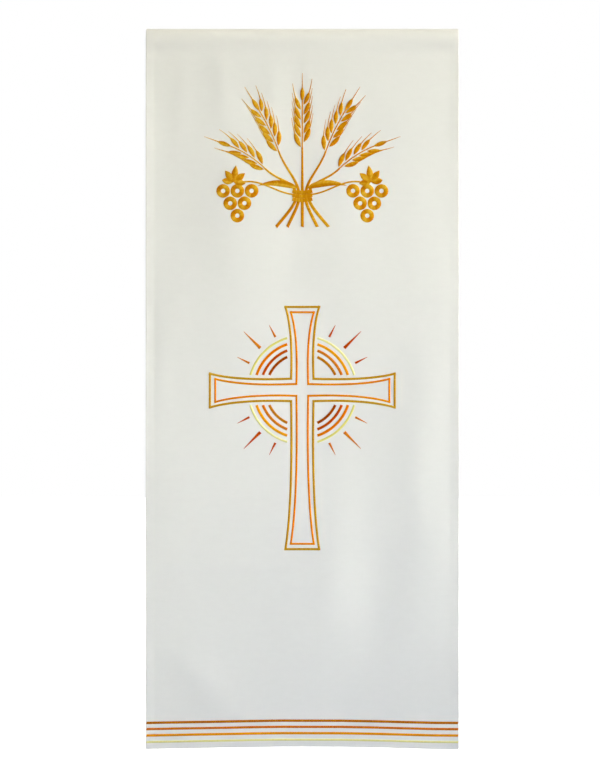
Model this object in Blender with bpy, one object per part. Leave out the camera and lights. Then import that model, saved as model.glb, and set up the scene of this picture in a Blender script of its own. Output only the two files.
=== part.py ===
"""Ambo cloth: one long strip of plain white cloth, hung over the top edge of a reading desk.

The strip is a single sheet. Its face falls in front, turns over the unseen support and falls
again behind, a little shorter. The origin is where the support's top line meets the underside
of the turn. X runs along the support, -Y is the front and Z is up. Units are metres.
"""

import math
from collections import namedtuple

import bmesh
import bpy
import numpy as np

WIDTH = 0.500
LENGTH = 2.300  # flat, from the front hem to the back hem
FRONT_DROP = 1.152  # from the top of the turn down to the middle of the front hem
CLOTH_THICK = 0.0014
HEM_THICK = 0.0024  # the edge folded in twice on the reverse
HEM_DEPTH = 0.015
HEM_STEP = 0.002  # over which the hem's fold thins out to the single cloth

INNER_RADIUS = 0.019  # half the thickness of what the cloth hangs on
FACE_RADIUS = INNER_RADIUS + CLOTH_THICK
TURN_HEIGHT = -INNER_RADIUS  # the turn's centre line; the falls hang below it
FRONT_STRAIGHT = FRONT_DROP - FACE_RADIUS
TURN_LENGTH = math.pi * FACE_RADIUS
BACK_STRAIGHT = LENGTH - FRONT_STRAIGHT - TURN_LENGTH
HALF_WIDTH = WIDTH / 2

BOW = 0.004  # how far the side edges stand forward of the middle at the hem
SETTLE = 0.045  # below the turn, where folds have come up to their full rise

COLUMN_PITCH = 0.0125
FRONT_PITCH = 0.030
UPPER_PITCH = 0.014
UPPER_REACH = 0.070  # this far under the turn the rows lie closer
BACK_PITCH = 0.085
TURN_STEPS = 10

CLOTH_COLOUR = (0.78, 0.77, 0.70, 1.0)
CLOTH_ROUGHNESS = 0.85

# A soft ridge (rise above 0) or trough (below 0) that runs down the cloth. lean is how far it
# drifts sideways for each metre that it goes up.
Fold = namedtuple("Fold", "across height half_width half_height rise lean")

FRONT_FOLDS = (
    Fold(-0.106, -0.325, 0.050, 0.175, 0.0031, 0.00),
    Fold(-0.052, -0.350, 0.026, 0.120, 0.0007, 0.00),
    Fold(0.050, -0.870, 0.038, 0.135, 0.0038, 0.05),
    Fold(0.004, -0.930, 0.060, 0.130, 0.0012, 0.05),
    Fold(0.186, -0.720, 0.044, 0.330, 0.0036, 0.03),
    Fold(0.062, -0.300, 0.052, 0.220, 0.0027, 0.00),
    Fold(0.160, -0.220, 0.050, 0.150, 0.0020, 0.00),
    Fold(-0.165, -1.040, 0.036, 0.080, 0.0022, -0.60),
    Fold(-0.012, -1.070, 0.034, 0.070, 0.0007, 0.00),
    Fold(-0.199, -0.585, 0.021, 0.050, -0.0010, 0.00),
    Fold(0.012, -0.520, 0.060, 0.160, -0.0014, 0.10),
    Fold(-0.192, -0.100, 0.014, 0.075, 0.0009, 0.10),
    Fold(-0.128, -0.090, 0.013, 0.070, 0.0008, 0.00),
    Fold(-0.048, -0.095, 0.015, 0.080, 0.0010, 0.05),
    Fold(0.014, -0.110, 0.016, 0.085, 0.0009, -0.05),
    Fold(0.078, -0.100, 0.014, 0.070, 0.0008, 0.00),
    Fold(0.118, -0.130, 0.015, 0.060, 0.0007, 0.00),
    Fold(-0.250, -0.640, 0.016, 0.260, -0.0008, 0.00),
    Fold(-0.250, -0.250, 0.014, 0.150, 0.0012, 0.00),
    Fold(-0.246, -0.487, 0.018, 0.035, -0.0012, 0.00),
    Fold(0.246, -0.425, 0.016, 0.028, -0.0012, 0.00),
    Fold(0.246, -0.865, 0.016, 0.028, -0.0010, 0.00),
)
BACK_FOLDS = (
    Fold(-0.172, -0.780, 0.040, 0.560, 0.0052, 0.04),
    Fold(-0.066, -0.900, 0.030, 0.420, 0.0034, -0.03),
    Fold(0.036, -0.860, 0.044, 0.520, 0.0056, -0.03),
    Fold(0.128, -0.500, 0.028, 0.300, 0.0026, 0.05),
    Fold(0.186, -0.800, 0.036, 0.540, 0.0050, 0.02),
)
# How much lower than its highest place the hem hangs at some places across.
HemPlace = namedtuple("HemPlace", "across droop")
HEM_LINE = (
    HemPlace(-0.250, 0.0034),
    HemPlace(-0.150, 0.0019),
    HemPlace(-0.085, 0.0007),
    HemPlace(-0.030, 0.0000),
    HemPlace(0.060, 0.0002),
    HemPlace(0.115, 0.0011),
    HemPlace(0.165, 0.0023),
    HemPlace(0.210, 0.0034),
    HemPlace(0.250, 0.0035),
)
EDGE_CURL = 0.0007  # the side edges of the front roll forward by this much
CURL_WIDTH = 0.018
# Faint ridges straight across, left by the cloth's packing folds.
CREASES = (
    Fold(0.215, -0.430, 0.060, 0.010, 0.0011, 0.04),
    Fold(-0.150, -0.862, 0.120, 0.010, 0.0015, 0.02),
)
CREASE_STEP = 0.012  # from a crease's own row to the rows beside it


def hill(distance, half_width):
    """1 in the middle, falling smoothly to almost nothing at two half widths."""
    return math.exp(-((distance / half_width) ** 2))


def ease(share):
    """A smooth step from 0 to 1."""
    share = min(1.0, max(0.0, share))
    return share * share * (3.0 - 2.0 * share)


def fold_rise(folds, across, height):
    total = 0.0
    for fold in folds:
        middle = fold.across + fold.lean * (height - fold.height)
        side = hill(across - middle, fold.half_width)
        total += fold.rise * side * hill(height - fold.height, fold.half_height)
    return total


def front_rise(across, depth):
    """How far the front fall stands forward of its plane, depth below the turn."""
    height = TURN_HEIGHT - depth
    down = depth / FRONT_STRAIGHT
    edge = HALF_WIDTH - abs(across)
    rise = fold_rise(FRONT_FOLDS + CREASES, across, height)
    rise += BOW * (across / HALF_WIDTH) ** 2 * down
    rise += EDGE_CURL * max(0.0, 1.0 - edge / CURL_WIDTH) ** 2
    return rise * ease(depth / SETTLE)


def back_rise(across, depth):
    """How far the back fall stands out behind its plane, depth below the turn."""
    height = TURN_HEIGHT - depth
    down = depth / BACK_STRAIGHT
    rise = fold_rise(BACK_FOLDS, across, height)
    rise += BOW * (across / HALF_WIDTH) ** 2 * down
    return rise * ease(depth / SETTLE)


def hem_droop(across):
    """How much lower the hem hangs here than at its highest place."""
    places, droops = zip(*HEM_LINE)
    return float(np.interp(across, places, droops))


def face_point(across, along):
    """Place of the cloth's face: across from the middle, along from the front hem."""
    droop = hem_droop(across)
    if along < FRONT_STRAIGHT:
        depth = FRONT_STRAIGHT - along
        out = FACE_RADIUS + front_rise(across, depth)
        return (across, -out, TURN_HEIGHT - depth - droop * depth / FRONT_STRAIGHT)
    if along > FRONT_STRAIGHT + TURN_LENGTH:
        depth = along - FRONT_STRAIGHT - TURN_LENGTH
        out = FACE_RADIUS + back_rise(across, depth)
        return (across, out, TURN_HEIGHT - depth - droop * depth / BACK_STRAIGHT)
    angle = (along - FRONT_STRAIGHT) / FACE_RADIUS
    rise = FACE_RADIUS * math.sin(angle)
    return (across, -FACE_RADIUS * math.cos(angle), TURN_HEIGHT + rise)


def inward(along):
    """Unit vector in Y and Z from the face to the reverse."""
    angle = (along - FRONT_STRAIGHT) / FACE_RADIUS
    angle = min(math.pi, max(0.0, angle))
    return (math.cos(angle), -math.sin(angle))


def thickness(across, along):
    """The single cloth's thickness, more where the hem is folded in."""
    edge = min(HALF_WIDTH - abs(across), along, LENGTH - along)
    hem = 1.0 - ease((edge - HEM_DEPTH) / HEM_STEP)
    return CLOTH_THICK + (HEM_THICK - CLOTH_THICK) * hem


def even_steps(start, end, pitch):
    """Values from start to end at about this pitch, without the end itself."""
    count = max(1, round((end - start) / pitch))
    return [start + (end - start) * step / count for step in range(count)]


def column_places():
    inner = HALF_WIDTH - HEM_DEPTH - HEM_STEP
    left = [-HALF_WIDTH, -HALF_WIDTH + HEM_DEPTH]
    right = [inner, HALF_WIDTH - HEM_DEPTH, HALF_WIDTH]
    return left + even_steps(-inner, inner, COLUMN_PITCH) + right


def row_places():
    """Distances along the strip from the front hem, closer together at the turn."""
    hem = [0.0, HEM_DEPTH]
    upper = FRONT_STRAIGHT - UPPER_REACH
    turned = FRONT_STRAIGHT + TURN_LENGTH
    inner = LENGTH - HEM_DEPTH - HEM_STEP
    rows = hem + even_steps(HEM_DEPTH + HEM_STEP, upper, FRONT_PITCH)
    rows += even_steps(upper, FRONT_STRAIGHT, UPPER_PITCH)
    rows += even_steps(FRONT_STRAIGHT, turned, TURN_LENGTH / TURN_STEPS)
    rows += even_steps(turned, inner, BACK_PITCH)
    return with_creases(rows) + [inner, LENGTH - HEM_DEPTH, LENGTH]


def with_creases(rows):
    """The rows, and three at each crease in place of those that would lie too close to them."""
    steps = (-CREASE_STEP, 0.0, CREASE_STEP)
    own = [FRONT_STRAIGHT - TURN_HEIGHT + crease.height + step for crease in CREASES for step in steps]
    kept = [row for row in rows if min(abs(row - place) for place in own) > CREASE_STEP / 2]
    return sorted(kept + own)


def reverse_point(across, along):
    y, z = inward(along)
    thick = thickness(across, along)
    face = face_point(across, along)
    return (face[0], face[1] + y * thick, face[2] + z * thick)


def sheet_mesh():
    """The closed sheet: its face, its reverse and the thin rim that joins them."""
    columns, rows = column_places(), row_places()
    mesh = bmesh.new()
    face = [[mesh.verts.new(face_point(c, r)) for c in columns] for r in rows]
    reverse = [[mesh.verts.new(reverse_point(c, r)) for c in columns] for r in rows]
    last_row, last_column = len(rows) - 1, len(columns) - 1
    for i in range(last_row):
        for j in range(last_column):
            mesh.faces.new((face[i][j], face[i][j + 1], face[i + 1][j + 1], face[i + 1][j]))
            mesh.faces.new(
                (reverse[i][j], reverse[i + 1][j], reverse[i + 1][j + 1], reverse[i][j + 1])
            )
    for i in range(last_row):
        for j, step in ((0, 1), (last_column, -1)):
            rim = (face[i][j], face[i + 1][j], reverse[i + 1][j], reverse[i][j])
            mesh.faces.new(rim[::step])
    for j in range(last_column):
        for i, step in ((0, -1), (last_row, 1)):
            rim = (face[i][j], face[i][j + 1], reverse[i][j + 1], reverse[i][j])
            mesh.faces.new(rim[::step])
    data = bpy.data.meshes.new("cloth")
    mesh.to_mesh(data)
    mesh.free()
    data.shade_smooth()
    return data


def cloth_material():
    material = bpy.data.materials.new("white cloth")
    material.use_nodes = True
    shader = material.node_tree.nodes["Principled BSDF"]
    shader.inputs["Base Color"].default_value = CLOTH_COLOUR
    shader.inputs["Roughness"].default_value = CLOTH_ROUGHNESS
    shader.inputs["Metallic"].default_value = 0.0
    return material


def main():
    for old in list(bpy.data.objects):
        bpy.data.objects.remove(old)
    cloth = bpy.data.objects.new("ambo_cloth", sheet_mesh())
    cloth.data.materials.append(cloth_material())
    bpy.context.scene.collection.objects.link(cloth)


main()
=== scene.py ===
"""Ambo cloth: the woven strip, its hems and its machine embroidery, with a studio round them.

The strip hangs over an unseen edge along X, its front towards -Y, with +Z up, in metres. Places
on it are given flat: across from its middle, and along it from the front hem to the back hem.
Places in an embroidered figure are given in millimetres, across and up from its centre.
"""

import math
from collections import namedtuple

import bpy
import numpy as np
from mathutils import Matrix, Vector, noise


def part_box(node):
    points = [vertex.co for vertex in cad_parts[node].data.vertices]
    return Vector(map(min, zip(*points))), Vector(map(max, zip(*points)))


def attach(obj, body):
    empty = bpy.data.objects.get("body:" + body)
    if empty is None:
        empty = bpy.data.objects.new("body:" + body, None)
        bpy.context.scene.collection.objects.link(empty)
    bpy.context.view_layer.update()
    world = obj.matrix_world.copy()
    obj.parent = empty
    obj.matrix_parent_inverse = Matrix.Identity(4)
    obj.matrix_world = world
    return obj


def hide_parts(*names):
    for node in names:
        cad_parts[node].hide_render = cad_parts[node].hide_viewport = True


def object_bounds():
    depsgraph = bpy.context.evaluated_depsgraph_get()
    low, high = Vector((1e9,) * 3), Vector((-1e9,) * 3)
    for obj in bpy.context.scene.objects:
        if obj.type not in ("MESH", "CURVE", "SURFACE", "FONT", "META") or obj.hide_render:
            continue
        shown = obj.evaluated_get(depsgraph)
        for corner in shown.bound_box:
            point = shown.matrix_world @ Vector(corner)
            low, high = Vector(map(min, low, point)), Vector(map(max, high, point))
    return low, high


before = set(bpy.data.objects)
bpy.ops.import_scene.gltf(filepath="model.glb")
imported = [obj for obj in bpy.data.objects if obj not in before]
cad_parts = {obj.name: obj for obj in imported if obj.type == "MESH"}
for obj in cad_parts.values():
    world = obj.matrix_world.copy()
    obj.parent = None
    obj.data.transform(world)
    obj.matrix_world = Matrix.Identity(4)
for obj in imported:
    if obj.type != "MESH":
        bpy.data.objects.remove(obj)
CAD_LOW, CAD_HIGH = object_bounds()
STRIP_NODE = "ambo_cloth"
NODE_LOW, NODE_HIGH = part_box(STRIP_NODE)

bl_info = {
    "name": "Ambo cloth",
    "version": (1, 0, 0),
    "blender": (4, 5, 0),
    "location": "View3D > Sidebar > Ambo cloth",
    "description": "Builds a white ambo cloth with satin stitch figures and border lines",
    "category": "Object",
}

MM = 0.001

# The strip, as cut and hung.
WIDTH = NODE_HIGH.x - NODE_LOW.x
HALF_WIDTH = WIDTH / 2
LENGTH = 2.300  # flat, from the front hem to the back hem
FRONT_DROP = 1.152  # from the top of the turn down to the middle of the front hem
CLOTH_THICK = 0.0010
HEM_THICK = 0.0018  # the edge folded in on the reverse
HEM_DEPTH = 0.015
FACE_RADIUS = 0.0204  # of the turn, at the cloth's face
TURN_HEIGHT = -0.019  # the turn's centre line; the falls hang below it
TOP_HEIGHT = TURN_HEIGHT + FACE_RADIUS
FRONT_STRAIGHT = FRONT_DROP - FACE_RADIUS
TURN_LENGTH = math.pi * FACE_RADIUS
BACK_STRAIGHT = LENGTH - FRONT_STRAIGHT - TURN_LENGTH
BOW = 0.004  # how far the side edges stand forward of the middle at the hem
SETTLE = 0.045  # below the turn, where folds have come up to their full rise

# A soft ridge (rise above 0) or trough (below 0) that runs down the cloth. lean is how far it
# drifts sideways for each metre that it goes up.
Fold = namedtuple("Fold", "across height half_width half_height rise lean")

FRONT_FOLDS = (
    Fold(-0.106, -0.325, 0.050, 0.175, 0.0031, 0.00),
    Fold(-0.052, -0.350, 0.026, 0.120, 0.0007, 0.00),
    Fold(0.049, -0.890, 0.038, 0.122, 0.0032, 0.05),
    Fold(0.004, -0.930, 0.060, 0.130, 0.0012, 0.05),
    Fold(0.186, -0.720, 0.044, 0.330, 0.0031, 0.03),
    Fold(0.062, -0.300, 0.052, 0.220, 0.0027, 0.00),
    Fold(0.160, -0.220, 0.050, 0.150, 0.0020, 0.00),
    Fold(-0.165, -1.040, 0.036, 0.080, 0.0022, -0.60),
    Fold(-0.012, -1.070, 0.034, 0.070, 0.0007, 0.00),
    Fold(-0.199, -0.585, 0.021, 0.050, -0.0010, 0.00),
    Fold(0.012, -0.520, 0.060, 0.160, -0.0014, 0.10),
    Fold(-0.192, -0.100, 0.014, 0.075, 0.0009, 0.10),
    Fold(-0.128, -0.090, 0.013, 0.070, 0.0008, 0.00),
    Fold(-0.048, -0.095, 0.015, 0.080, 0.0010, 0.05),
    Fold(0.014, -0.110, 0.016, 0.085, 0.0009, -0.05),
    Fold(0.078, -0.100, 0.014, 0.070, 0.0008, 0.00),
    Fold(0.118, -0.130, 0.015, 0.060, 0.0007, 0.00),
    Fold(-0.250, -0.640, 0.016, 0.260, -0.0008, 0.00),
    Fold(-0.250, -0.250, 0.014, 0.150, 0.0012, 0.00),
    Fold(-0.246, -0.487, 0.018, 0.035, -0.0012, 0.00),
    Fold(0.246, -0.425, 0.016, 0.028, -0.0012, 0.00),
    Fold(0.246, -0.865, 0.016, 0.028, -0.0010, 0.00),
)
BACK_FOLDS = (
    Fold(-0.172, -0.780, 0.040, 0.560, 0.0052, 0.04),
    Fold(-0.066, -0.900, 0.030, 0.420, 0.0034, -0.03),
    Fold(0.036, -0.860, 0.044, 0.520, 0.0056, -0.03),
    Fold(0.128, -0.500, 0.028, 0.300, 0.0026, 0.05),
    Fold(0.186, -0.800, 0.036, 0.540, 0.0050, 0.02),
)
# How much lower than its highest place the hem hangs at some places across.
HemPlace = namedtuple("HemPlace", "across droop")
HEM_LINE = (
    HemPlace(-0.250, 0.0034),
    HemPlace(-0.150, 0.0019),
    HemPlace(-0.085, 0.0007),
    HemPlace(-0.030, 0.0000),
    HemPlace(0.060, 0.0002),
    HemPlace(0.115, 0.0011),
    HemPlace(0.165, 0.0023),
    HemPlace(0.210, 0.0034),
    HemPlace(0.250, 0.0035),
)
EDGE_CURL = 0.0007  # the side edges of the front roll forward by this much
CURL_WIDTH = 0.018
# Just under the turn the cloth tucks in a little before it falls straight.
TUCK = 0.0017
TUCK_SKEW = 0.8  # how much deeper it is at the right edge
TUCK_START = 0.022
TUCK_END = 0.090
# The corners of the turn are drawn in.
CORNER_FOLDS = (
    Fold(-0.2360, -0.027, 0.0085, 0.017, -0.0009, -0.35),
    Fold(0.2260, -0.026, 0.0090, 0.015, -0.0006, 0.10),
)
# Faint ridges straight across, left by the cloth's packing folds.
CREASES = (
    Fold(0.215, -0.430, 0.060, 0.010, 0.0011, 0.04),
    Fold(-0.150, -0.862, 0.120, 0.010, 0.0015, 0.02),
)

# The fine unevenness of the hung cloth, one row for each size of ripple.
Ripple = namedtuple("Ripple", "across_size down_size rise seed")
RIPPLES = (
    Ripple(0.060, 0.200, 0.00040, 3.0),
    Ripple(0.022, 0.060, 0.00012, 11.0),
)
BACK_RIPPLE = 2.5  # how much stronger they are behind

# The sheet's grid.
COLUMN_PITCH = 0.0050
FRONT_PITCH = 0.0060
TURN_PITCH = 0.0030
BACK_PITCH = 0.0120
# Distances in from a hemmed edge where the sheet needs a row or column of its own.
HEM_PLACES = (0.0, 0.0008, 0.0025, 0.0070, 0.0110, 0.0125, 0.0132, 0.0139, 0.0150, 0.0162)
STITCH_LINE = 0.0132  # where the hem is sewn down, in from the edge
STITCH_SINK = 0.00009  # how far the stitches pull the cloth in
STITCH_SINK_WIDTH = 0.0018
HEM_STEP = 0.0012
RIM_STEPS = 4


def hill(distance, half_width):
    """1 in the middle, falling smoothly to almost nothing at two half widths."""
    return np.exp(-((distance / half_width) ** 2))


def ease(share):
    """A smooth step from 0 to 1."""
    share = np.clip(share, 0.0, 1.0)
    return share * share * (3.0 - 2.0 * share)


def fold_rise(folds, across, height):
    total = np.zeros_like(across)
    for fold in folds:
        middle = fold.across + fold.lean * (height - fold.height)
        side = hill(across - middle, fold.half_width)
        total += fold.rise * side * hill(height - fold.height, fold.half_height)
    return total


def ripple_rise(across, height):
    """Small waves from smooth noise."""
    total = np.zeros(across.size)
    for ripple in RIPPLES:
        u = across.ravel() / ripple.across_size
        v = height.ravel() / ripple.down_size
        wave = [noise.noise(Vector((a, b, ripple.seed))) for a, b in zip(u, v)]
        total += ripple.rise * np.array(wave)
    return total.reshape(across.shape)


def front_rise(across, depth):
    """How far the front fall stands forward of its plane, depth below the turn."""
    height = TURN_HEIGHT - depth
    rise = fold_rise(FRONT_FOLDS + CREASES, across, height)
    rise += BOW * (across / HALF_WIDTH) ** 2 * depth / FRONT_STRAIGHT
    rise += EDGE_CURL * np.clip(1.0 - (HALF_WIDTH - np.abs(across)) / CURL_WIDTH, 0.0, 1.0) ** 2
    rise += ripple_rise(across, height)
    tuck = TUCK * ease(depth / TUCK_START) * (1.0 - ease(depth / TUCK_END))
    tuck *= 1.0 + TUCK_SKEW * np.maximum(across, 0.0) / HALF_WIDTH
    corners = fold_rise(CORNER_FOLDS, across, height) * ease(depth / TUCK_START)
    return rise * ease(depth / SETTLE) - tuck + corners


def back_rise(across, depth):
    """How far the back fall stands out behind its plane, depth below the turn."""
    height = TURN_HEIGHT - depth
    rise = fold_rise(BACK_FOLDS, across, height)
    rise += BOW * (across / HALF_WIDTH) ** 2 * depth / BACK_STRAIGHT
    rise += BACK_RIPPLE * ripple_rise(across, height + LENGTH)
    return rise * ease(depth / SETTLE)


def hem_droop(across):
    """How much lower the hem hangs here than at its highest place."""
    places, droops = zip(*HEM_LINE)
    return np.interp(across, places, droops)


def strip_place(across, along, lift):
    """Points of the strip, lift out of its face."""
    angle = np.clip((along - FRONT_STRAIGHT) / FACE_RADIUS, 0.0, math.pi)
    front_depth = np.maximum(FRONT_STRAIGHT - along, 0.0)
    back_depth = np.maximum(along - FRONT_STRAIGHT - TURN_LENGTH, 0.0)
    radius = FACE_RADIUS + lift
    out = back_rise(across, back_depth) - front_rise(across, front_depth)
    share = front_depth / FRONT_STRAIGHT + back_depth / BACK_STRAIGHT
    fall = front_depth + back_depth + hem_droop(across) * share
    height = TURN_HEIGHT + radius * np.sin(angle) - fall
    return np.stack([across, out - radius * np.cos(angle), height], axis=-1)


def along_of(height):
    """Where on the strip a height on the front fall is."""
    return FRONT_STRAIGHT - TURN_HEIGHT + height


def strip_thickness(across, along):
    """Thicker where the hem is folded in, with a step at the fold's inner edge."""
    hem = 1.0 - ease((edge_distance(across, along) - HEM_DEPTH) / HEM_STEP)
    return CLOTH_THICK + (HEM_THICK - CLOTH_THICK) * hem


def edge_distance(across, along):
    return np.minimum(HALF_WIDTH - np.abs(across), np.minimum(along, LENGTH - along))


def even_steps(start, end, pitch):
    count = max(1, round((end - start) / pitch))
    return list(np.linspace(start, end, count, endpoint=False))


def strip_columns():
    near = [-HALF_WIDTH + place for place in HEM_PLACES]
    far = [-place for place in reversed(near)]
    return np.array(near + even_steps(near[-1], far[0], COLUMN_PITCH)[1:] + far)


def strip_rows():
    near = list(HEM_PLACES)
    far = [LENGTH - place for place in reversed(HEM_PLACES)]
    turn_start = FRONT_STRAIGHT - SETTLE
    turn_end = FRONT_STRAIGHT + TURN_LENGTH + SETTLE
    rows = near + even_steps(near[-1], turn_start, FRONT_PITCH)[1:]
    rows += even_steps(turn_start, turn_end, TURN_PITCH)
    rows += even_steps(turn_end, far[0], BACK_PITCH)
    return np.array(rows + far)


def grid_quads(row_count, column_count, first=0, flip=False):
    """The four-sided faces of a grid of points numbered row by row."""
    rows = np.arange(row_count - 1)[:, None] * column_count
    corner = (first + rows + np.arange(column_count - 1)[None, :]).ravel()
    above = corner + column_count
    quads = np.stack([corner, corner + 1, above + 1, above], axis=1)
    return quads[:, ::-1] if flip else quads


def rim_order(row_count, column_count):
    """The grid's outer points in order, and the way out of the sheet at each."""
    last = (row_count - 1) * column_count
    sides = (
        (np.arange(column_count), (0.0, 0.0, -1.0)),
        (np.arange(1, row_count) * column_count + column_count - 1, (1.0, 0.0, 0.0)),
        (last + np.arange(column_count - 2, -1, -1), (0.0, 0.0, -1.0)),
        (np.arange(row_count - 2, 0, -1) * column_count, (-1.0, 0.0, 0.0)),
    )
    order = np.concatenate([indices for indices, _ in sides])
    outward = np.concatenate([np.tile(way, (len(indices), 1)) for indices, way in sides])
    return order, outward


def strip_mesh():
    """Points, faces and flat places of the strip: its face, its reverse and its rounded rim."""
    across, along = np.meshgrid(strip_columns(), strip_rows())
    thick = strip_thickness(across, along)
    edge = edge_distance(across, along)
    sink = STITCH_SINK * hill(edge - STITCH_LINE, STITCH_SINK_WIDTH)
    face = strip_place(across, along, -sink).reshape(-1, 3)
    reverse = strip_place(across, along, sink - thick).reshape(-1, 3)
    flat = np.stack([across, along], axis=-1).reshape(-1, 2)
    order, outward = rim_order(*across.shape)
    points, places = [face, reverse], [flat, flat]
    quads = [grid_quads(*across.shape), grid_quads(*across.shape, first=across.size, flip=True)]
    layers = [order]
    total = 2 * across.size
    half = (face[order] - reverse[order]) / 2
    bulge = np.linalg.norm(half, axis=1)[:, None] * outward
    for step in range(1, RIM_STEPS):
        angle = math.pi * step / RIM_STEPS
        middle = reverse[order] + half * (1.0 + math.cos(angle))
        points.append(middle + bulge * math.sin(angle))
        places.append(flat[order])
        layers.append(total + np.arange(len(order)))
        total += len(order)
    layers.append(order + across.size)
    for upper, lower in zip(layers, layers[1:]):
        ahead = (np.roll(lower, -1), np.roll(upper, -1))
        quads.append(np.stack([upper, lower, *ahead], axis=1))
    return np.concatenate(points), np.concatenate(quads), np.concatenate(places)


def new_object(name, data):
    made = bpy.data.objects.new(name, data)
    bpy.context.scene.collection.objects.link(made)
    return made


def add_piece(name, points, quads, material, flat=None, shade=None):
    """A new object from points and four-sided faces, riding on the cloth's body."""
    mesh = bpy.data.meshes.new(name)
    mesh.from_pydata(points.tolist(), [], quads.tolist())
    mesh.shade_smooth()
    if flat is not None:
        corners = np.empty(len(mesh.loops), np.int32)
        mesh.loops.foreach_get("vertex_index", corners)
        layer = mesh.uv_layers.new(name="flat")
        layer.data.foreach_set("uv", flat[corners].astype(np.float32).ravel())
    if shade is not None:
        layer = mesh.attributes.new("shade", "FLOAT", "POINT")
        layer.data.foreach_set("value", shade.astype(np.float32))
    mesh.materials.append(material)
    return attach(new_object(name, mesh), "root")


# Satin stitch. A profile is the places across a row of threads, from edge to edge, that get a
# point. A row rises to its crown in the middle, but never above this share of its half width.
CROWN_LIMIT = 0.8
WIDE_PROFILE = (-1.0, -0.92, -0.55, 0.0, 0.55, 0.92, 1.0)
NARROW_PROFILE = (-1.0, -0.80, 0.0, 0.80, 1.0)
VEINED_PROFILE = (-1.0, -0.88, -0.50, -0.12, 0.12, 0.50, 0.88, 1.0)
NARROW_LIMIT = 2.2 * MM
THREAD_GROOVE = 0.16 * MM
THREAD_ROOT = -0.25 * MM
EDGE_JITTER = 0.12 * MM
HEIGHT_JITTER = 0.08
VEIN_FLOOR = 0.35  # how high a veined leaf or grain still is in its vein
# Painted sheen: thread running in this direction, in degrees from across, is painted lightest.
PAINTED_SHEEN_HEADING = 48.0
# How far the painted sheen moves a thread's tone.
PAINTED_SHEEN_SWING = 0.34
TONE_JITTER = 0.07
# Runs of stitches, this many threads long, differ a little in tone.
TONE_RUN = 5
SATIN_DRIFT = 0.12
LINE_DRIFT = 0.04

# One machine stitch: places along it, and its width and height there, all as shares.
StitchPlace = namedtuple("StitchPlace", "along width height")
STITCH_PLACES = (
    StitchPlace(0.00, 0.35, -0.50),
    StitchPlace(0.18, 0.90, 0.75),
    StitchPlace(0.50, 1.00, 1.00),
    StitchPlace(0.82, 0.90, 0.75),
    StitchPlace(1.00, 0.35, -0.50),
)
STITCH_BULGE = 1.3
STITCH_ROOT = -0.5


def walk(path):
    """The distance walked along a path to each of its points."""
    steps = np.linalg.norm(np.diff(path, axis=0), axis=1)
    return np.concatenate([[0.0], np.cumsum(steps)])


def interpolate(at, walked, values):
    """Places or directions at some distances along a path."""
    return np.stack([np.interp(at, walked, values[:, k]) for k in (0, 1)], axis=1)


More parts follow.
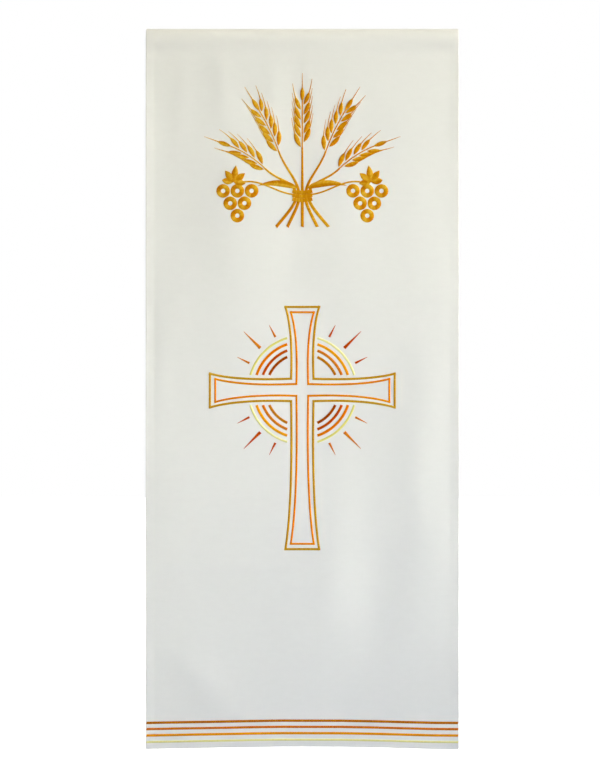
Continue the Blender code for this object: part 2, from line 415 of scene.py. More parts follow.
class Needle:
    """Collects the points and faces of one embroidered piece round a centre on the strip."""

    def __init__(self, pitch, centre_across=0.0, centre_along=0.0, seed=1, drift=LINE_DRIFT):
        self.pitch = pitch
        self.drift_size = drift
        self.centre = (centre_across, centre_along)
        self.random = np.random.default_rng(seed)
        self.points, self.quads, self.shade = [], [], []
        self.count = 0

    def satin(self, path, half_width, crown, lift=0.0, slant=0.0, vein=False, closed=False):
        """Side by side threads across a path. half_width is one value or one for each point."""
        path = np.asarray(path, float)
        half_width = np.array(np.broadcast_to(half_width, len(path)), float)
        tangent = np.gradient(path, axis=0)
        if closed:
            tangent = np.roll(path, -1, axis=0) - np.roll(path, 1, axis=0)
            path, tangent = np.vstack([path, path[:1]]), np.vstack([tangent, tangent[:1]])
            half_width = np.append(half_width, half_width[0])
        walked = walk(path)
        threads = max(3, round(walked[-1] / self.pitch))
        rows = 2 * threads if closed else 2 * threads + 1
        at = np.linspace(0.0, walked[-1], rows, endpoint=not closed)
        middle = interpolate(at, walked, path)
        ahead = interpolate(at, walked, tangent)
        ahead /= np.linalg.norm(ahead, axis=1)[:, None]
        side = np.stack([-ahead[:, 1], ahead[:, 0]], axis=1)
        reach = np.interp(at, walked, half_width)
        ridge = (np.arange(rows) % 2).astype(float)
        wobble = self.random.normal(0.0, 1.0, (rows, 3)) * ridge[:, None]
        share = np.array(self.profile(reach.max(), vein))[None, :]
        grown = EDGE_JITTER * np.where(share < 0, wobble[:, :1], wobble[:, 1:2])
        offset = share * (reach[:, None] + grown)
        shift = np.abs(offset) * slant if vein else offset * slant
        flat = middle[:, None, :] + side[:, None, :] * offset[..., None]
        flat += ahead[:, None, :] * shift[..., None]
        arch = self.arch(share, vein)
        tall = np.minimum(crown, reach * CROWN_LIMIT)[:, None]
        tall = tall * (1.0 + HEIGHT_JITTER * wobble[:, 2:])
        height = lift + (tall + THREAD_GROOVE * (ridge[:, None] - 0.5)) * arch
        height[:, [0, -1]] = THREAD_ROOT
        if not closed:
            height[[0, -1]] = THREAD_ROOT
        tone = np.repeat(self.random.normal(0.0, TONE_JITTER, threads + 1), 2)[:rows]
        tone += self.drift(rows)
        # Painted sheen: each thread's random tone is made deeper or lighter by the direction it
        # runs in.
        run = np.gradient(flat, axis=1)
        tone = tone[:, None] + painted_sheen(np.arctan2(run[..., 1], run[..., 0]))
        self.add(flat, height, tone, closed)

    def drift(self, rows):
        """Slow changes of tone along a row of stitches."""
        knots = self.random.normal(0.0, self.drift_size, rows // (2 * TONE_RUN) + 2)
        return np.interp(np.arange(rows), np.arange(len(knots)) * 2 * TONE_RUN, knots)

    def profile(self, widest, vein):
        if vein:
            return VEINED_PROFILE
        return WIDE_PROFILE if widest > NARROW_LIMIT else NARROW_PROFILE

    def arch(self, share, vein):
        """The height across a thread: one arch, or two that meet in a vein."""
        if not vein:
            return np.sqrt(np.clip(1.0 - share**2, 0.0, 1.0))
        lobe = np.sqrt(np.clip(1.0 - (2.0 * np.abs(share) - 1.0) ** 2, 0.0, 1.0))
        return np.where(np.abs(share) < 0.5, VEIN_FLOOR + (1.0 - VEIN_FLOOR) * lobe, lobe)

    def running(self, path, length, gap, half_width, lift=0.0):
        """Separate straight stitches, end to end along a path."""
        path = np.asarray(path, float)
        walked = walk(path)
        count = max(1, round(walked[-1] / (length + gap)))
        pitch = walked[-1] / count
        share = np.array([-1.0, 0.0, 1.0])
        along, widths, heights = (np.array(column) for column in zip(*STITCH_PLACES))
        for index in range(count):
            at = index * pitch + gap / 2 + (pitch - gap) * along
            middle = interpolate(at, walked, path)
            ahead = (middle[-1] - middle[0]) / np.linalg.norm(middle[-1] - middle[0])
            side = np.array([-ahead[1], ahead[0]])
            width = half_width * widths
            flat = middle[:, None, :] + side * (width[:, None] * share[None, :])[..., None]
            bulge = heights[:, None] * half_width * STITCH_BULGE
            root = STITCH_ROOT * half_width
            height = lift + np.where(share[None, :] == 0.0, bulge, root)
            tone = np.full(height.shape, 0.5 + self.random.normal(0.0, TONE_JITTER))
            self.add(flat, height, tone, False)

    def add(self, flat, height, tone, closed):
        rows, columns = height.shape
        across, along = self.centre[0] + flat[..., 0], self.centre[1] + flat[..., 1]
        placed = strip_place(across, along, height)
        quads = grid_quads(rows, columns, first=self.count, flip=True)
        if closed:
            start = self.count + np.arange(columns - 1)
            last = start + (rows - 1) * columns
            seam = np.stack([start, start + 1, last + 1, last], axis=1)
            quads = np.vstack([quads, seam])
        self.points.append(placed.reshape(-1, 3))
        self.quads.append(quads)
        self.shade.append(tone.ravel())
        self.count += rows * columns

    def finish(self, name, material):
        points, quads = np.concatenate(self.points), np.concatenate(self.quads)
        return add_piece(name, points, quads, material, shade=np.concatenate(self.shade))


def painted_sheen(heading):
    """Painted sheen: how light a thread's colour is painted for the direction it runs in: about 0
    is deep, 1 is light.
    """
    return 0.5 + PAINTED_SHEEN_SWING * np.cos(2.0 * (heading - math.radians(PAINTED_SHEEN_HEADING)))


TIP_HALF_WIDTH = 0.35  # of an awn or a ray
POINT_HALF_WIDTH = 0.15  # of a grain or a leaf


def bezier(start, first, second, end, count=24):
    """Points on a cubic curve, from places in millimetres."""
    t = np.linspace(0.0, 1.0, count)[:, None]
    start, first, second, end = (np.array(p, float) for p in (start, first, second, end))
    near = (1 - t) ** 3 * start + 3 * (1 - t) ** 2 * t * first
    return (near + 3 * (1 - t) * t**2 * second + t**3 * end) * MM


def bent_line(start, heading, bend, length, count=12):
    """Points on a line that leaves at a heading, in degrees from straight up, and bends."""
    step = length / (count - 1)
    angles = np.radians(heading + bend * np.linspace(0.0, 1.0, count))
    moves = np.stack([np.sin(angles), np.cos(angles)], axis=1) * step
    walk = np.vstack([[0.0, 0.0], np.cumsum(moves[:-1], axis=0)])
    return (np.array(start, float) + walk) * MM


def spindle(count, widest, fullness=0.75, belly=0.85):
    """Half widths of a grain or a leaf: pointed at both ends, widest below the middle."""
    t = np.linspace(0.0, 1.0, count)
    return np.maximum(widest * np.sin(math.pi * t**belly) ** fullness, POINT_HALF_WIDTH) * MM


def ring_points(centre_across, centre_up, radius, count=40):
    angles = np.linspace(0.0, 2 * math.pi, count, endpoint=False)
    circle = np.stack([np.cos(angles), np.sin(angles)], axis=1) * radius
    return (np.array([centre_across, centre_up]) + circle) * MM


# The wheat sheaf. Stems on the left mirror those on the right.
SHEAF_PIECES = ("sheaf_stems", "sheaf_grains", "sheaf_awns", "sheaf_leaves", "sheaf_grapes")
Stem = namedtuple("Stem", "foot tie ear_across ear_up heading bend length pairs")
STEMS = (
    Stem(0.0, 0.0, 0.0, 8.0, 0.0, 0.0, 78.0, 5),
    Stem(24.0, 5.0, 38.0, 2.0, 20.0, 12.0, 76.0, 5),
    Stem(42.0, 10.0, 60.0, -26.0, 46.0, 24.0, 70.0, 4),
)
FOOT_UP = -120.0
TIE_UP = -70.0
# The bends of a stem's curve: what share of the foot's or the tie's place across they keep, and
# how far they lie from its foot, from the tie and, along the ear's heading, from the ear.
KNEE_SPREAD = 0.7
KNEE_RISE = 16.0
BELOW_SPREAD = 0.9
BELOW_DROP = 14.0
ABOVE_SPREAD = 1.2
ABOVE_RISE = 26.0
UNDER_EAR = 34.0
STEM_SLANT = 0.3
STEM_HALF_WIDTH = 2.6
STEM_TOP_HALF_WIDTH = 1.5
EAR_LINE_HALF_WIDTH = 1.1
EAR_LINE_OVERLAP = 0.8  # how far it starts down the stem, in steps of its own line
EAR_POINTS = 40
GRAIN_LENGTH = 25.0
GRAIN_HALF_WIDTH = 4.0
GRAIN_ANGLE = 30.0
GRAIN_BEND = 14.0
GRAIN_SPACING = 15.0
GRAIN_OFFSET = 2.3
GRAIN_SHRINK = 0.14  # how much smaller the grains are at the top of the ear
GRAIN_SLANT = 0.55
TOP_GRAIN_DROP = 5.0
TOP_GRAIN_SIZE = 0.92
AWN_LENGTH = 27.0
AWN_HALF_WIDTH = 0.95
AWN_BEND = 0.6  # as a share of its grain's bend
GRAPE_RADIUS = 7.2
GRAPE_HALF_WIDTH = 3.9
GRAPE_PITCH = 22.8
GRAPE_ROW_STEP = 0.87  # between rows, as a share of the pitch
GRAPE_ROWS = (3, 2, 1)
GRAPE_CENTRE = (104.0, -62.0)
# The stalk's curve from the tie to the grapes, as the places that govern it.
VINE = ((12.0, -68.0), (44.0, -66.0), (66.0, -40.0), (100.0, -49.0))
VINE_HALF_WIDTH = 1.5
VINE_LEAF_START = (110.0, -48.0)
VINE_LEAF_LENGTH = 27.0
VINE_LEAF_MIDDLE = -8.0
VINE_LEAF_STEPS = (-88.0, -44.0, 0.0, 44.0, 88.0)
VINE_LEAF_TAPER = 0.09  # shorter by this much for each degree from the middle one
Leaf = namedtuple("Leaf", "start heading bend length")
TIE_LEAF = Leaf((7.0, -58.0), 66.0, 42.0, 66.0)
LEAF_HALF_WIDTH = 5.6
LEAF_FULLNESS = 0.9
LEAF_BELLY = 0.62
LEAF_SLANT = 0.7
LEAF_POINTS = 30
BAND_STEP = 6.4
BAND_REACH = 16.0
BAND_BEND = 6.0
BAND_SAG = 1.5
BAND_HALF_WIDTH = 3.1
SATIN_CROWN = 0.85 * MM
LINE_CROWN = 0.60 * MM


def mirrored(side, place):
    return (side * place[0], place[1])


def sew_ear(grains, awns, side, stem):
    """One ear of wheat: grains to the left and right in turn up its line, and a last one on top."""
    axis = bent_line((side * stem.ear_across, stem.ear_up), side * stem.heading,
                     side * stem.bend, stem.length, count=EAR_POINTS) / MM
    for index in range(2 * stem.pairs):
        share = index * GRAIN_SPACING / 2 / stem.length
        heading = side * (stem.heading + stem.bend * share)
        turn = 1 if index % 2 else -1
        lean = math.radians(heading)
        offset = turn * GRAIN_OFFSET * np.array([math.cos(lean), -math.sin(lean)])
        base = axis[min(EAR_POINTS - 1, round(share * (EAR_POINTS - 1)))] + offset
        size = 1.0 - GRAIN_SHRINK * share
        sew_grain(grains, awns, base, heading + turn * GRAIN_ANGLE, -turn * GRAIN_BEND, size)
    heading = side * (stem.heading + stem.bend)
    lean = math.radians(heading)
    top = axis[-1] - TOP_GRAIN_DROP * np.array([math.sin(lean), math.cos(lean)])
    sew_grain(grains, awns, top, heading, 0.0, TOP_GRAIN_SIZE)
    line = np.vstack([axis[0] - EAR_LINE_OVERLAP * (axis[1] - axis[0]), axis[1:-2]])
    grains.satin(line * MM, EAR_LINE_HALF_WIDTH * MM, LINE_CROWN)


def sew_grain(grains, awns, base, heading, bend, size):
    path = bent_line(base, heading, bend, GRAIN_LENGTH * size)
    grains.satin(path, spindle(len(path), GRAIN_HALF_WIDTH * size), SATIN_CROWN,
                 slant=GRAIN_SLANT, vein=True)
    awn = bent_line(path[-2] / MM, heading + bend, bend * AWN_BEND, AWN_LENGTH * size)
    awns.satin(awn, np.linspace(AWN_HALF_WIDTH, TIP_HALF_WIDTH, len(awn)) * MM, LINE_CROWN)


def sew_stem(stems, side, stem):
    foot = mirrored(side, (stem.foot, FOOT_UP))
    tie = mirrored(side, (stem.tie, TIE_UP))
    ear = mirrored(side, (stem.ear_across, stem.ear_up))
    lean = math.radians(stem.heading)
    under_across = stem.ear_across - UNDER_EAR * math.sin(lean)
    under = mirrored(side, (under_across, stem.ear_up - UNDER_EAR * math.cos(lean)))
    above = mirrored(side, (stem.tie * ABOVE_SPREAD, TIE_UP + ABOVE_RISE))
    below = mirrored(side, (stem.tie * BELOW_SPREAD, TIE_UP - BELOW_DROP))
    knee = mirrored(side, (stem.foot * KNEE_SPREAD, FOOT_UP + KNEE_RISE))
    lower = bezier(foot, knee, below, tie)
    upper = bezier(tie, above, under, ear)
    path = np.vstack([lower[:-1], upper])
    width = np.concatenate([np.full(len(lower) - 1, STEM_HALF_WIDTH),
                            np.linspace(STEM_HALF_WIDTH, STEM_TOP_HALF_WIDTH, len(upper))])
    stems.satin(path, width * MM, LINE_CROWN, slant=STEM_SLANT)


def sew_leaf(leaves, side, leaf):
    start = mirrored(side, leaf.start)
    path = bent_line(start, side * leaf.heading, side * leaf.bend, leaf.length, LEAF_POINTS)
    width = spindle(LEAF_POINTS, LEAF_HALF_WIDTH, LEAF_FULLNESS, LEAF_BELLY)
    leaves.satin(path, width, SATIN_CROWN, slant=LEAF_SLANT, vein=True)


def sew_grapes(grapes, side):
    """A bunch of grapes, each a ring of stitches."""
    across, up = GRAPE_CENTRE
    for row, count in enumerate(GRAPE_ROWS):
        for place in range(count):
            u = across + (place - (count - 1) / 2) * GRAPE_PITCH
            v = up - row * GRAPE_PITCH * GRAPE_ROW_STEP
            circle = ring_points(side * u, v, GRAPE_RADIUS)
            grapes.satin(circle, GRAPE_HALF_WIDTH * MM, SATIN_CROWN, closed=True)


def sew_vine(stems, leaves, side):
    """The stalk from the tie to a bunch of grapes, and the leaf over the bunch."""
    path = bezier(*(mirrored(side, place) for place in VINE))
    stems.satin(path, VINE_HALF_WIDTH * MM, LINE_CROWN, slant=STEM_SLANT)
    for step in VINE_LEAF_STEPS:
        length = VINE_LEAF_LENGTH - abs(step) * VINE_LEAF_TAPER
        sew_leaf(leaves, side, Leaf(VINE_LEAF_START, VINE_LEAF_MIDDLE + step, 0.0, length))


def sew_tie(leaves):
    """Three bands of stitches round the stems."""
    for step in (-1, 0, 1):
        up = TIE_UP + step * BAND_STEP
        high, low = up + BAND_SAG, up - BAND_SAG
        band = bezier((-BAND_REACH, high), (-BAND_BEND, low), (BAND_BEND, low), (BAND_REACH, high))
        leaves.satin(band, BAND_HALF_WIDTH * MM, SATIN_CROWN, lift=LINE_CROWN)


# The ringed cross. Its arms' directions, and their lengths from the crossing.
ARMS = ((0.0, 148.0), (90.0, 133.0), (180.0, 148.0), (270.0, 255.0))
QUARTERS = (0.0, 90.0, 180.0, 270.0)
BAR_HALF_WIDTH = 18.0
BAR_WAIST = 16.5
BAR_FLARE = 27.0
BAR_EASE = 0.25  # the share of an arm over which it leaves the crossing and comes to its end
BAR_END_POINTS = 12
INNER_OFFSET = 8.5
OUTLINE_HALF_WIDTH = 2.0
INNER_HALF_WIDTH = 1.8
RING_RADII = (58.0, 67.5, 77.0, 86.5)
RING_HALF_WIDTHS = (2.3, 2.3, 2.3, 1.9)
RING_CLEARANCE = 6.0
RING_POINTS = 30
RAY_START = 95.0
RAY_POINTS = 10
Ray = namedtuple("Ray", "angle length half_width")
RAYS = (Ray(27.0, 22.0, 2.1), Ray(45.0, 38.0, 2.8), Ray(63.0, 22.0, 2.1))


def turned(points, degrees):
    """Points in the plane, turned anticlockwise."""
    angle = math.radians(degrees)
    spin = np.array([[math.cos(angle), math.sin(angle)], [-math.sin(angle), math.cos(angle)]])
    return np.asarray(points, float) @ spin


def arm_lines(length, inset):
    """The two long sides and the end of one arm that points right, inset from its outline."""
    start, waist, flare = BAR_HALF_WIDTH - inset, BAR_WAIST - inset, BAR_FLARE - inset
    tip = length - inset
    side = bezier((start, start), (start + length * BAR_EASE, waist),
                  (tip - length * BAR_EASE, waist), (tip, flare))
    end = np.linspace((tip, flare), (tip, -flare), BAR_END_POINTS) * MM
    return side, side * (1.0, -1.0), end


def sew_outline(needle, inset, half_width):
    """The lines round the cross's four arms, inset from its outline."""
    for angle, length in ARMS:
        for line in arm_lines(length, inset):
            line = turned(line, angle)
            needle.satin(lengthened(line, half_width * MM), half_width * MM, LINE_CROWN)


def lengthened(line, extra):
    """The line with both ends drawn out, so that two lines close a corner between them."""
    first, last = line[0] - line[1], line[-1] - line[-2]
    start = line[0] + first / np.linalg.norm(first) * extra
    end = line[-1] + last / np.linalg.norm(last) * extra
    return np.vstack([start, line[1:-1], end])


def sew_ring(needle, radius, half_width):
    """One ring round the crossing, open where the arms pass."""
    margin = math.degrees(math.asin((BAR_HALF_WIDTH + RING_CLEARANCE) / radius))
    for quarter in QUARTERS:
        ends = (quarter + margin, quarter + 90.0 - margin)
        angles = np.radians(np.linspace(*ends, RING_POINTS))
        arc = np.stack([np.cos(angles), np.sin(angles)], axis=1) * radius * MM
        needle.satin(arc, half_width * MM, LINE_CROWN)


def sew_rays(needle):
    for quarter in QUARTERS:
        for ray in RAYS:
            end = (RAY_START + ray.length, 0.0)
            line = np.linspace((RAY_START, 0.0), end, RAY_POINTS) * MM
            width = np.linspace(ray.half_width, TIP_HALF_WIDTH, RAY_POINTS) * MM
            needle.satin(turned(line, quarter + ray.angle), width, LINE_CROWN)


# The border lines, from the top one down, and the machine stitches of the hem.
BorderLine = namedtuple("BorderLine", "name thread height half_width")
BORDER = (
    BorderLine("border_line_brown", "brown_orange", 0.0412, 0.00220),
    BorderLine("border_line_red", "red_orange", 0.0313, 0.00205),
    BorderLine("border_line_amber", "amber", 0.0212, 0.00215),
    BorderLine("border_line_pale", "pale_yellow", 0.0107, 0.00175),
)
BORDER_END = 0.0004  # from a line's end to the cloth's edge
BORDER_SLANT = 0.25
BORDER_POINTS = 60
HEM_STITCH = 0.0026
HEM_STITCH_GAP = 0.0006
HEM_THREAD = 0.00018  # its half width

# Seeds of the threads' unevenness. A group's pieces count up from its seed.
HEM_SEED = 5
BORDER_SEED = 20
SHEAF_SEED = 30
OUTLINE_SEED = 41
INNER_LINE_SEED = 42
RING_SEED = 43
RAY_SEED = 48


def hem_path():
    """The hem's seam, once round the strip."""
    side, end = HALF_WIDTH - STITCH_LINE, LENGTH - STITCH_LINE
    corners = ((-side, STITCH_LINE), (side, STITCH_LINE), (side, end), (-side, end))
    return np.array(corners + corners[:1])


def new_material(name):
    """A new material with its nodes, its links and its shader."""
    material = bpy.data.materials.new(name)
    material.use_nodes = True
    tree = material.node_tree
    return material, tree.nodes, tree.links, tree.nodes["Principled BSDF"]


def add_ramp(nodes, stops):
    """A colour ramp of two or three stops, each a position and a colour."""
    ramp = nodes.new("ShaderNodeValToRGB")
    elements = ramp.color_ramp.elements
    for position, _ in stops[1:-1]:
        elements.new(position)
    for element, (position, colour) in zip(elements, stops):
        element.position = position
        element.color = (*colour, 1.0)
    return ramp


def thread_material(name, colour, settings):
    """Lustrous thread, with its sheen painted into the colour: deep or light by each stitch's
    random tone and direction.
    """
    material, nodes, links, shader = new_material(name)
    shade = nodes.new("ShaderNodeAttribute")
    shade.attribute_name = "shade"
    # Deep and light copies of the thread's colour, for its random tone and its painted sheen.
    powers = (1.0 + settings.painted_sheen, 1.0, 1.0 - settings.painted_sheen)
    tones = [[channel**power for channel in colour[:3]] for power in powers]
    tone = add_ramp(nodes, list(zip((0.0, 0.5, 1.0), tones)))
    links.new(shade.outputs["Fac"], tone.inputs["Fac"])
    links.new(tone.outputs["Color"], shader.inputs["Base Color"])
    shader.inputs["Roughness"].default_value = settings.roughness
    shader.inputs["Specular IOR Level"].default_value = settings.gloss
    shader.inputs["Specular Tint"].default_value = (*colour[:3], 1.0)
    return material


def line_thread(name, settings):
    """The material of one coloured thread, made when it is first asked for."""
    full_name = name + " thread"
    made = bpy.data.materials.get(full_name)
    return made or thread_material(full_name, getattr(settings, name), settings)


# The weave. How far its yarns stray, in yarns, and how closely, and how high they stand.
YARN_WANDER = 1.2
YARN_WANDER_SCALE = 0.12
YARN_HEIGHT = 0.15 * MM
WAVE_LENGTH = math.pi / 10.0  # of a wave texture at scale 1
# Uneven yarns: the noise they are drawn from, and the darker ones' share of the full colour.
SLUB_SCALE = 60.0
SLUB_DETAIL = 4.0
SLUB_STRETCH = (1.0, 2.0, 1.0)
SLUB_LOW = 0.3
SLUB_HIGH = 0.7
SLUB_DEPTH = 0.985
CLOTH_ROUGHNESS = 0.85
CLOTH_GLOSS = 0.25
CLOTH_SHEEN = 0.15
SHEEN_ROUGHNESS = 0.5


def cloth_material(settings):
    """Fine plain weave, off white, with slightly uneven yarns."""
    material, nodes, links, shader = new_material("white cloth")
    flat = nodes.new("ShaderNodeUVMap")
    flat.uv_map = "flat"
    yarns = []
    for direction in ("X", "Y"):
        wave = nodes.new("ShaderNodeTexWave")
        wave.bands_direction = direction
        wave.inputs["Scale"].default_value = WAVE_LENGTH / settings.yarn_pitch
        wave.inputs["Distortion"].default_value = YARN_WANDER
        wave.inputs["Detail"].default_value = 1.0
        wave.inputs["Detail Scale"].default_value = YARN_WANDER_SCALE
        links.new(flat.outputs["UV"], wave.inputs["Vector"])
        yarns.append(wave)
    weave = nodes.new("ShaderNodeMath")
    weave.operation = "MULTIPLY"
    for index, wave in enumerate(yarns):
        links.new(wave.outputs["Fac"], weave.inputs[index])
    bump = nodes.new("ShaderNodeBump")
    bump.inputs["Strength"].default_value = settings.weave_depth
    bump.inputs["Distance"].default_value = YARN_HEIGHT
    links.new(weave.outputs["Value"], bump.inputs["Height"])
    links.new(bump.outputs["Normal"], shader.inputs["Normal"])
    slub = nodes.new("ShaderNodeTexNoise")
    slub.inputs["Scale"].default_value = SLUB_SCALE
    slub.inputs["Detail"].default_value = SLUB_DETAIL
    stretch = nodes.new("ShaderNodeMapping")
    stretch.inputs["Scale"].default_value = SLUB_STRETCH
    links.new(flat.outputs["UV"], stretch.inputs["Vector"])
    links.new(stretch.outputs["Vector"], slub.inputs["Vector"])
    full = settings.colour[:3]
    darker = [channel * SLUB_DEPTH for channel in full]
    tone = add_ramp(nodes, ((SLUB_LOW, darker), (SLUB_HIGH, full)))
    links.new(slub.outputs["Fac"], tone.inputs["Fac"])
    links.new(tone.outputs["Color"], shader.inputs["Base Color"])
    shader.inputs["Roughness"].default_value = CLOTH_ROUGHNESS
    shader.inputs["Specular IOR Level"].default_value = CLOTH_GLOSS
    shader.inputs["Sheen Weight"].default_value = CLOTH_SHEEN
    shader.inputs["Sheen Roughness"].default_value = SHEEN_ROUGHNESS
    return material


def floor_material(colour):
    """Plain and pale, and bright enough to stay as white as the background."""
    material, _, _, shader = new_material("pale floor")
    shader.inputs["Base Color"].default_value = (*colour[:3], 1.0)
    shader.inputs["Roughness"].default_value = FLOOR_ROUGHNESS
    shader.inputs["Emission Color"].default_value = (*colour[:3], 1.0)
    shader.inputs["Emission Strength"].default_value = FLOOR_GLOW
    return material


# The picture's frame, in pixels, and where the cloth stands in it.
PICTURE_WIDTH = 600.0
PICTURE_HEIGHT = 780.0
CLOTH_LEFT = 146.3
CLOTH_RIGHT = 458.35
CLOTH_TOP = 28.95
SENSOR = 36.0
CLIP_END = 100.0

FLOOR_DROP = 0.060
FLOOR_SIZE = 24.0
FLOOR_GLOW = 1.2
FLOOR_ROUGHNESS = 0.9

Lamp = namedtuple("Lamp", "name across forward height aim_across aim size spread energy colour")
LAMPS = (
    Lamp("key_right", 4.18, -2.05, 0.50, 0.31, -0.28, 2.0, 36.0, 21.8, (1.0, 0.985, 0.84)),
    Lamp("sheen_left", -2.40, -3.10, -0.10, 0.0, -0.50, 0.6, 180.0, 19.0, (1.0, 0.80, 0.25)),
    Lamp("low_cool", 0.10, -1.30, -1.25, 0.1, -1.00, 0.6, 180.0, 9.3, (0.42, 0.56, 1.0)),
    Lamp("above", 0.00, 0.35, 1.20, 0.0, 0.00, 0.8, 180.0, 6.4, (1.0, 0.92, 0.80)),
    Lamp("behind", -4.20, 2.20, 0.60, 0.0, -0.50, 1.6, 180.0, 235.0, (1.0, 1.0, 1.0)),
    Lamp("behind_fill", 1.60, 3.80, 0.20, 0.0, -0.50, 2.0, 180.0, 34.0, (1.0, 1.0, 1.0)),
)


def add_camera(distance):
    """Face on, so far off that the strip's sides stay straight, framed as in the picture."""
    data = bpy.data.cameras.new("camera")
    camera = new_object("camera", data)
    face = distance - FACE_RADIUS
    pixels = (CLOTH_RIGHT - CLOTH_LEFT) / WIDTH
    data.sensor_width = SENSOR
    data.lens = pixels * face * SENSOR / PICTURE_HEIGHT
    middle = (CLOTH_LEFT + CLOTH_RIGHT) / 2
    top_pixels = data.lens / SENSOR * PICTURE_HEIGHT / distance
    across = (PICTURE_WIDTH / 2 - middle) / pixels
    height = TOP_HEIGHT - (PICTURE_HEIGHT / 2 - CLOTH_TOP) / top_pixels
    camera.location = (across, -distance, height)
    camera.rotation_euler = (math.radians(90.0), 0.0, 0.0)
    data.clip_end = CLIP_END
    bpy.context.scene.camera = camera


def add_lamp(lamp):
    """A square soft lamp, aimed at a place on the strip."""
    data = bpy.data.lights.new(lamp.name, "AREA")
    data.size = lamp.size
    data.spread = math.radians(lamp.spread)
    data.energy = lamp.energy
    data.color = lamp.colour
    light = new_object(lamp.name, data)
    light.location = (lamp.across, lamp.forward, lamp.height)
    towards = Vector((lamp.aim_across, 0.0, lamp.aim)) - light.location
    light.rotation_mode = "QUATERNION"
    light.rotation_quaternion = towards.to_track_quat("-Z", "Y")


def add_floor(colour):
    half = FLOOR_SIZE / 2
    level = CAD_LOW.z - FLOOR_DROP
    signs = ((-1, -1), (1, -1), (1, 1), (-1, 1))
    mesh = bpy.data.meshes.new("floor")
    mesh.from_pydata([(half * x, half * y, level) for x, y in signs], [], [(0, 1, 2, 3)])
    mesh.materials.append(floor_material(colour))
    floor = new_object("floor", mesh)
    floor.visible_diffuse = False


def set_world(settings):
    """Even studio light, and a white background behind it for the camera."""
    world = bpy.data.worlds.new("studio")
    bpy.context.scene.world = world
    world.use_nodes = True
    nodes, links = world.node_tree.nodes, world.node_tree.links
    nodes.clear()
    output = nodes.new("ShaderNodeOutputWorld")
    mix = nodes.new("ShaderNodeMixShader")
    rays = nodes.new("ShaderNodeLightPath")
    around, behind = nodes.new("ShaderNodeBackground"), nodes.new("ShaderNodeBackground")
    around.inputs["Color"].default_value = (*settings.ambient_colour, 1.0)
    around.inputs["Strength"].default_value = settings.ambient
    behind.inputs["Color"].default_value = (1.0, 1.0, 1.0, 1.0)
    behind.inputs["Strength"].default_value = 1.0
    links.new(rays.outputs["Is Camera Ray"], mix.inputs["Fac"])
    links.new(around.outputs["Background"], mix.inputs[1])
    links.new(behind.outputs["Background"], mix.inputs[2])
    links.new(mix.outputs["Shader"], output.inputs["Surface"])
    bpy.context.scene.view_settings.view_transform = "Standard"


COLOUR = {"subtype": "COLOR", "size": 3, "min": 0.0, "max": 1.0}


class AMBO_PG_cloth(bpy.types.PropertyGroup):
    colour: bpy.props.FloatVectorProperty(
        name="Colour", description="Colour of the bleached cloth",
        default=(0.80, 0.80, 0.79), **COLOUR)
    yarn_pitch: bpy.props.FloatProperty(
        name="Yarn pitch", description="Distance from one yarn to the next", unit="LENGTH",
        default=0.0005, min=0.0002, precision=5)
    weave_depth: bpy.props.FloatProperty(
        name="Weave depth", description="How strongly the weave shows", subtype="FACTOR",
        default=0.6, min=0.0, max=1.0)


class AMBO_PG_thread(bpy.types.PropertyGroup):
    pitch: bpy.props.FloatProperty(
        name="Stitch pitch", description="Distance from one satin stitch to the next",
        unit="LENGTH", default=0.00045, min=0.0002, precision=5)
    # How far the thread's colour is painted deeper or lighter: painted sheen by direction, and
    # random tone.
    painted_sheen: bpy.props.FloatProperty(
        name="Lustre", description="How far stitches differ in tone with their direction",
        subtype="FACTOR", default=0.40, min=0.0, max=0.8)
    roughness: bpy.props.FloatProperty(
        name="Roughness", description="Roughness of the lustrous thread", subtype="FACTOR",
        default=0.38, min=0.0, max=1.0)
    gloss: bpy.props.FloatProperty(
        name="Gloss", description="Strength of the thread's highlights", subtype="FACTOR",
        default=0.6, min=0.0, max=1.0)
    gold: bpy.props.FloatVectorProperty(
        name="Gold", description="Thread of the sheaf", default=(0.64, 0.285, 0.004), **COLOUR)
    old_gold: bpy.props.FloatVectorProperty(
        name="Old gold", description="Thread of the cross's outline",
        default=(0.56, 0.30, 0.012), **COLOUR)
    brown_orange: bpy.props.FloatVectorProperty(
        name="Brown orange", description="Thread of the top border line and the inmost ring",
        default=(0.42, 0.095, 0.001), **COLOUR)
    red_orange: bpy.props.FloatVectorProperty(
        name="Red orange", description="Thread of the second border line and ring",
        default=(0.59, 0.110, 0.002), **COLOUR)
    amber: bpy.props.FloatVectorProperty(
        name="Amber", description="Thread of the third border line and ring",
        default=(0.81, 0.250, 0.001), **COLOUR)
    pale_yellow: bpy.props.FloatVectorProperty(
        name="Pale yellow", description="Thread of the lowest border line and outmost ring",
        default=(0.82, 0.78, 0.27), **COLOUR)
    white: bpy.props.FloatVectorProperty(
        name="White", description="Thread of the hem's machine stitches",
        default=(0.80, 0.79, 0.74), **COLOUR)


class AMBO_PG_figures(bpy.types.PropertyGroup):
    sheaf_height: bpy.props.FloatProperty(
        name="Sheaf height", description="Height of the wheat sheaf's centre below the top edge",
        unit="LENGTH", default=0.200, min=0.0)
    cross_height: bpy.props.FloatProperty(
        name="Cross height", description="Height of the cross's crossing below the top edge",
        unit="LENGTH", default=0.581, min=0.0)


class AMBO_PG_stage(bpy.types.PropertyGroup):
    camera_distance: bpy.props.FloatProperty(
        name="Camera distance", description="From the camera to the strip's top edge",
        unit="LENGTH", default=4.5, min=1.0)
    ambient: bpy.props.FloatProperty(
        name="Ambient", description="Strength of the even light", default=0.25, min=0.0)
    ambient_colour: bpy.props.FloatVectorProperty(
        name="Ambient colour", description="Colour of the even light",
        default=(0.97, 0.99, 1.0), **COLOUR)
    floor_colour: bpy.props.FloatVectorProperty(
        name="Floor colour", description="Colour of the pale floor",
        default=(0.90, 0.90, 0.89), **COLOUR)


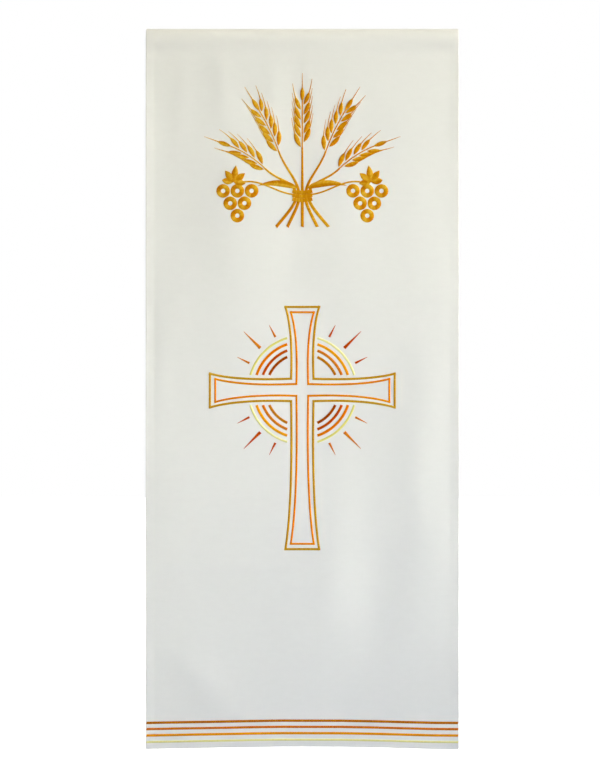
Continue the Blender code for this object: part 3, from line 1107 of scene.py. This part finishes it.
class AMBO_OT_strip(bpy.types.Operator):
    """Weave the strip: face, reverse, folded hems and the folds it hangs in"""

    bl_idname = "ambo.strip"
    bl_label = "Cloth strip"

    def execute(self, context):
        points, quads, flat = strip_mesh()
        material = cloth_material(context.scene.ambo_cloth)
        strip = add_piece("cloth_strip", points, quads, material, flat=flat)
        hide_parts(STRIP_NODE)
        return {"FINISHED"}


class AMBO_OT_hem_stitches(bpy.types.Operator):
    """Sew the hem down with a line of straight machine stitches"""

    bl_idname = "ambo.hem_stitches"
    bl_label = "Hem stitches"

    def execute(self, context):
        thread = context.scene.ambo_thread
        needle = Needle(thread.pitch, seed=HEM_SEED)
        needle.running(hem_path(), HEM_STITCH, HEM_STITCH_GAP, HEM_THREAD, lift=-STITCH_SINK)
        needle.finish("hem_stitches", line_thread("white", thread))
        return {"FINISHED"}


class AMBO_OT_border(bpy.types.Operator):
    """Embroider the four lines that run across the cloth above its front hem"""

    bl_idname = "ambo.border"
    bl_label = "Border lines"

    def execute(self, context):
        thread = context.scene.ambo_thread
        end = HALF_WIDTH - BORDER_END
        for index, line in enumerate(BORDER):
            needle = Needle(thread.pitch, seed=BORDER_SEED + index)
            path = np.linspace((-end, line.height), (end, line.height), BORDER_POINTS)
            needle.satin(path, line.half_width, LINE_CROWN, slant=BORDER_SLANT)
            needle.finish(line.name, line_thread(line.thread, thread))
        return {"FINISHED"}


class AMBO_OT_sheaf(bpy.types.Operator):
    """Embroider the sheaf of wheat with its grapes, in gold satin stitch"""

    bl_idname = "ambo.sheaf"
    bl_label = "Wheat sheaf"

    def execute(self, context):
        thread = context.scene.ambo_thread
        gold = line_thread("gold", thread)
        centre = (0.0, along_of(TOP_HEIGHT - context.scene.ambo_figures.sheaf_height))
        needles = [
            Needle(thread.pitch, *centre, seed=SHEAF_SEED + index, drift=SATIN_DRIFT)
            for index in range(len(SHEAF_PIECES))
        ]
        stems, grains, awns, leaves, grapes = needles
        for stem in STEMS:
            for side in (1, -1) if stem.foot else (1,):
                sew_stem(stems, side, stem)
                sew_ear(grains, awns, side, stem)
        for side in (1, -1):
            sew_leaf(leaves, side, TIE_LEAF)
            sew_vine(stems, leaves, side)
            sew_grapes(grapes, side)
        sew_tie(leaves)
        for needle, name in zip(needles, SHEAF_PIECES):
            needle.finish(name, gold)
        return {"FINISHED"}


class AMBO_OT_cross(bpy.types.Operator):
    """Embroider the outlined cross with its four rings and its rays"""

    bl_idname = "ambo.cross"
    bl_label = "Ringed cross"

    def execute(self, context):
        thread = context.scene.ambo_thread
        centre = (0.0, along_of(TOP_HEIGHT - context.scene.ambo_figures.cross_height))
        outline = Needle(thread.pitch, *centre, seed=OUTLINE_SEED)
        sew_outline(outline, 0.0, OUTLINE_HALF_WIDTH)
        outline.finish("cross_outline", line_thread("old_gold", thread))
        inner = Needle(thread.pitch, *centre, seed=INNER_LINE_SEED)
        sew_outline(inner, INNER_OFFSET, INNER_HALF_WIDTH)
        inner.finish("cross_inner_line", line_thread("amber", thread))
        for index, line in enumerate(BORDER):
            ring = Needle(thread.pitch, *centre, seed=RING_SEED + index)
            sew_ring(ring, RING_RADII[index], RING_HALF_WIDTHS[index])
            name = line.name.replace("border_line", "cross_ring")
            ring.finish(name, line_thread(line.thread, thread))
        rays = Needle(thread.pitch, *centre, seed=RAY_SEED)
        sew_rays(rays)
        rays.finish("cross_rays", line_thread("red_orange", thread))
        return {"FINISHED"}


class AMBO_OT_stage(bpy.types.Operator):
    """Set up the pale floor, the lamps, the white background and the camera"""

    bl_idname = "ambo.stage"
    bl_label = "Stage"

    def execute(self, context):
        stage = context.scene.ambo_stage
        add_floor(stage.floor_colour)
        for lamp in LAMPS:
            add_lamp(lamp)
        set_world(stage)
        add_camera(stage.camera_distance)
        return {"FINISHED"}


OPERATORS = (
    AMBO_OT_strip,
    AMBO_OT_hem_stitches,
    AMBO_OT_border,
    AMBO_OT_sheaf,
    AMBO_OT_cross,
    AMBO_OT_stage,
)
SETTINGS = (
    ("ambo_cloth", AMBO_PG_cloth),
    ("ambo_thread", AMBO_PG_thread),
    ("ambo_figures", AMBO_PG_figures),
    ("ambo_stage", AMBO_PG_stage),
)


class AMBO_PT_panel(bpy.types.Panel):
    """Lists the cloth's pieces and their sizes and colours"""

    bl_idname = "AMBO_PT_panel"
    bl_label = "Ambo cloth"
    bl_space_type = "VIEW_3D"
    bl_region_type = "UI"
    bl_category = "Ambo cloth"

    def draw(self, context):
        for operator in OPERATORS:
            self.layout.operator(operator.bl_idname)
        for name, group in SETTINGS:
            box = self.layout.box()
            for field in group.__annotations__:
                box.prop(getattr(context.scene, name), field)


def register():
    for name, group in SETTINGS:
        bpy.utils.register_class(group)
        setattr(bpy.types.Scene, name, bpy.props.PointerProperty(type=group))
    for operator in OPERATORS:
        bpy.utils.register_class(operator)
    bpy.utils.register_class(AMBO_PT_panel)


def unregister():
    bpy.utils.unregister_class(AMBO_PT_panel)
    for operator in reversed(OPERATORS):
        bpy.utils.unregister_class(operator)
    for name, group in reversed(SETTINGS):
        delattr(bpy.types.Scene, name)
        bpy.utils.unregister_class(group)


def main():
    register()
    bpy.ops.ambo.strip()
    bpy.ops.ambo.hem_stitches()
    bpy.ops.ambo.border()
    bpy.ops.ambo.sheaf()
    bpy.ops.ambo.cross()
    bpy.ops.ambo.stage()


if __name__ == "__main__":
    main()
